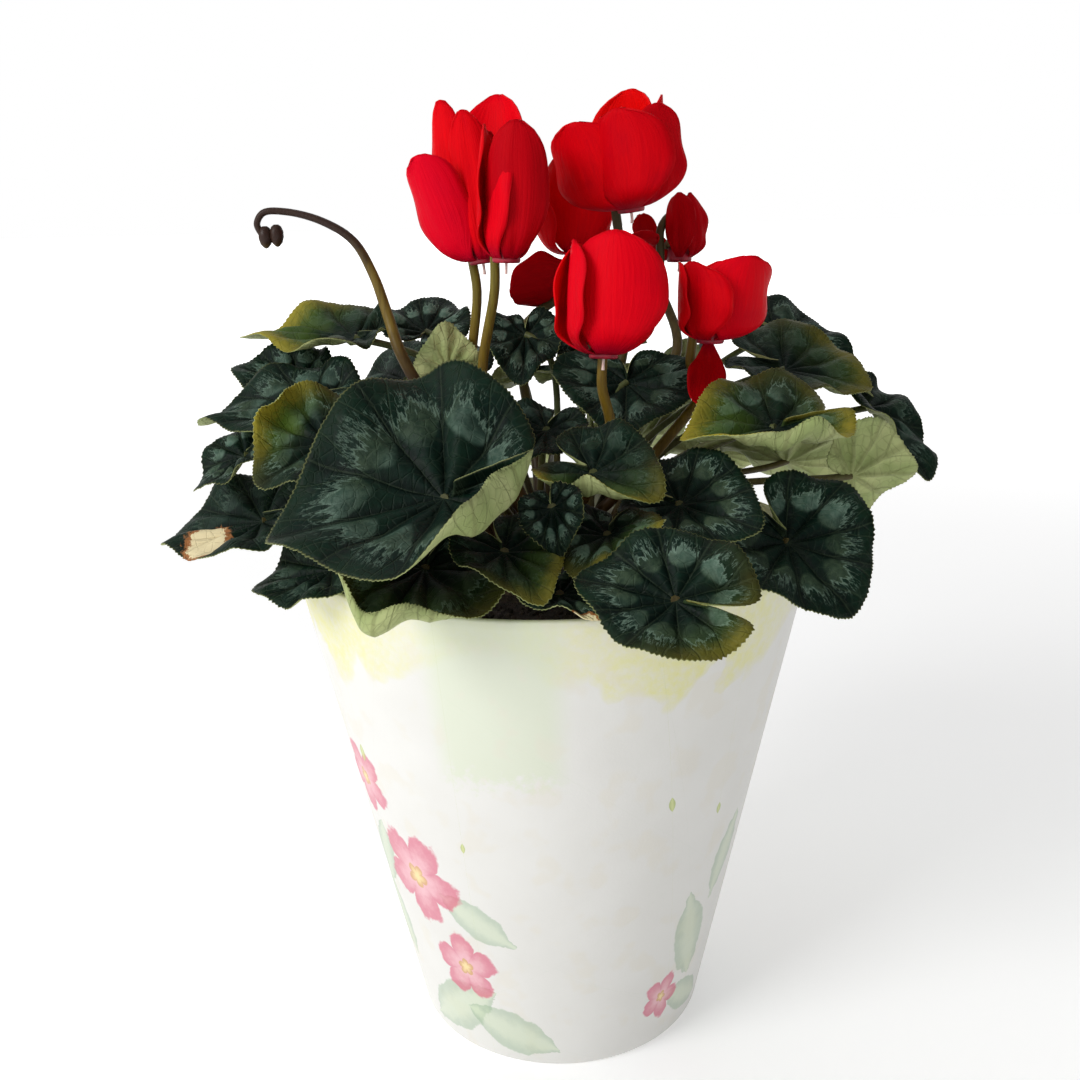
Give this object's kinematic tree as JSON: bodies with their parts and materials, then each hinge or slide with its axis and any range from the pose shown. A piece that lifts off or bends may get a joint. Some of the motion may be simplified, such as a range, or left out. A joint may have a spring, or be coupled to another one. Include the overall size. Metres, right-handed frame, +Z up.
{
  "type": "potted plant",
  "caption": "Florist's cyclamen with marbled heart-shaped leaves and red swept-back flowers on hooked stalks, growing from a tuber in a tapered decorated flower pot.",
  "frame": {"origin": "middle of the pot's foot, on the surface it stands on", "axes": "+Z up, front towards -Y, +X to the right as seen from the front"},
  "size_m": [0.238, 0.2291, 0.2922],
  "materials": {
    "pot": "matte",
    "soil": "matte",
    "tuber": "matte",
    "leaf": "satin",
    "petal": "satin",
    "stalk": "satin",
    "spent": "satin"
  },
  "bodies": {
    "root": {"pot": "pot", "soil": "soil", "tuber": "tuber", "leaf_01": "leaf", "leaf_02": "leaf", "leaf_03": "leaf", "leaf_04": "leaf", "leaf_05": "leaf", "leaf_06": "leaf", "leaf_07": "leaf", "leaf_08": "leaf", "leaf_09": "leaf", "leaf_10": "leaf", "leaf_11": "leaf", "leaf_12": "leaf", "leaf_13": "leaf", "leaf_14": "leaf", "leaf_15": "leaf", "leaf_16": "leaf", "leaf_17": "leaf", "leaf_18": "leaf", "leaf_19": "leaf", "leaf_20": "leaf", "leaf_21": "leaf", "leaf_22": "leaf", "leaf_23": "leaf", "leaf_24": "leaf", "leaf_25": "leaf", "leaf_26": "leaf", "leaf_27": "leaf", "leaf_28": "leaf", "leaf_29": "leaf", "leaf_30": "leaf", "leaf_31": "leaf", "leaf_32": "leaf", "leaf_33": "leaf", "leaf_34": "leaf", "leaf_35": "leaf", "leaf_36": "leaf", "leaf_37": "leaf", "leaf_38": "leaf", "leaf_39": "leaf", "leaf_40": "leaf", "leaf_41": "leaf", "flower_1_petals": "petal", "flower_1_stalk": "stalk", "flower_2_petals": "petal", "flower_2_stalk": "stalk", "flower_3_petals": "petal", "flower_3_stalk": "stalk", "flower_4_petals": "petal", "flower_4_stalk": "stalk", "flower_5_petals": "petal", "flower_5_stalk": "stalk", "flower_6_petals": "petal", "flower_6_stalk": "stalk", "flower_7_petals": "petal", "flower_7_stalk": "stalk", "spent_stalk": "spent"}
  },
  "joints": []
}
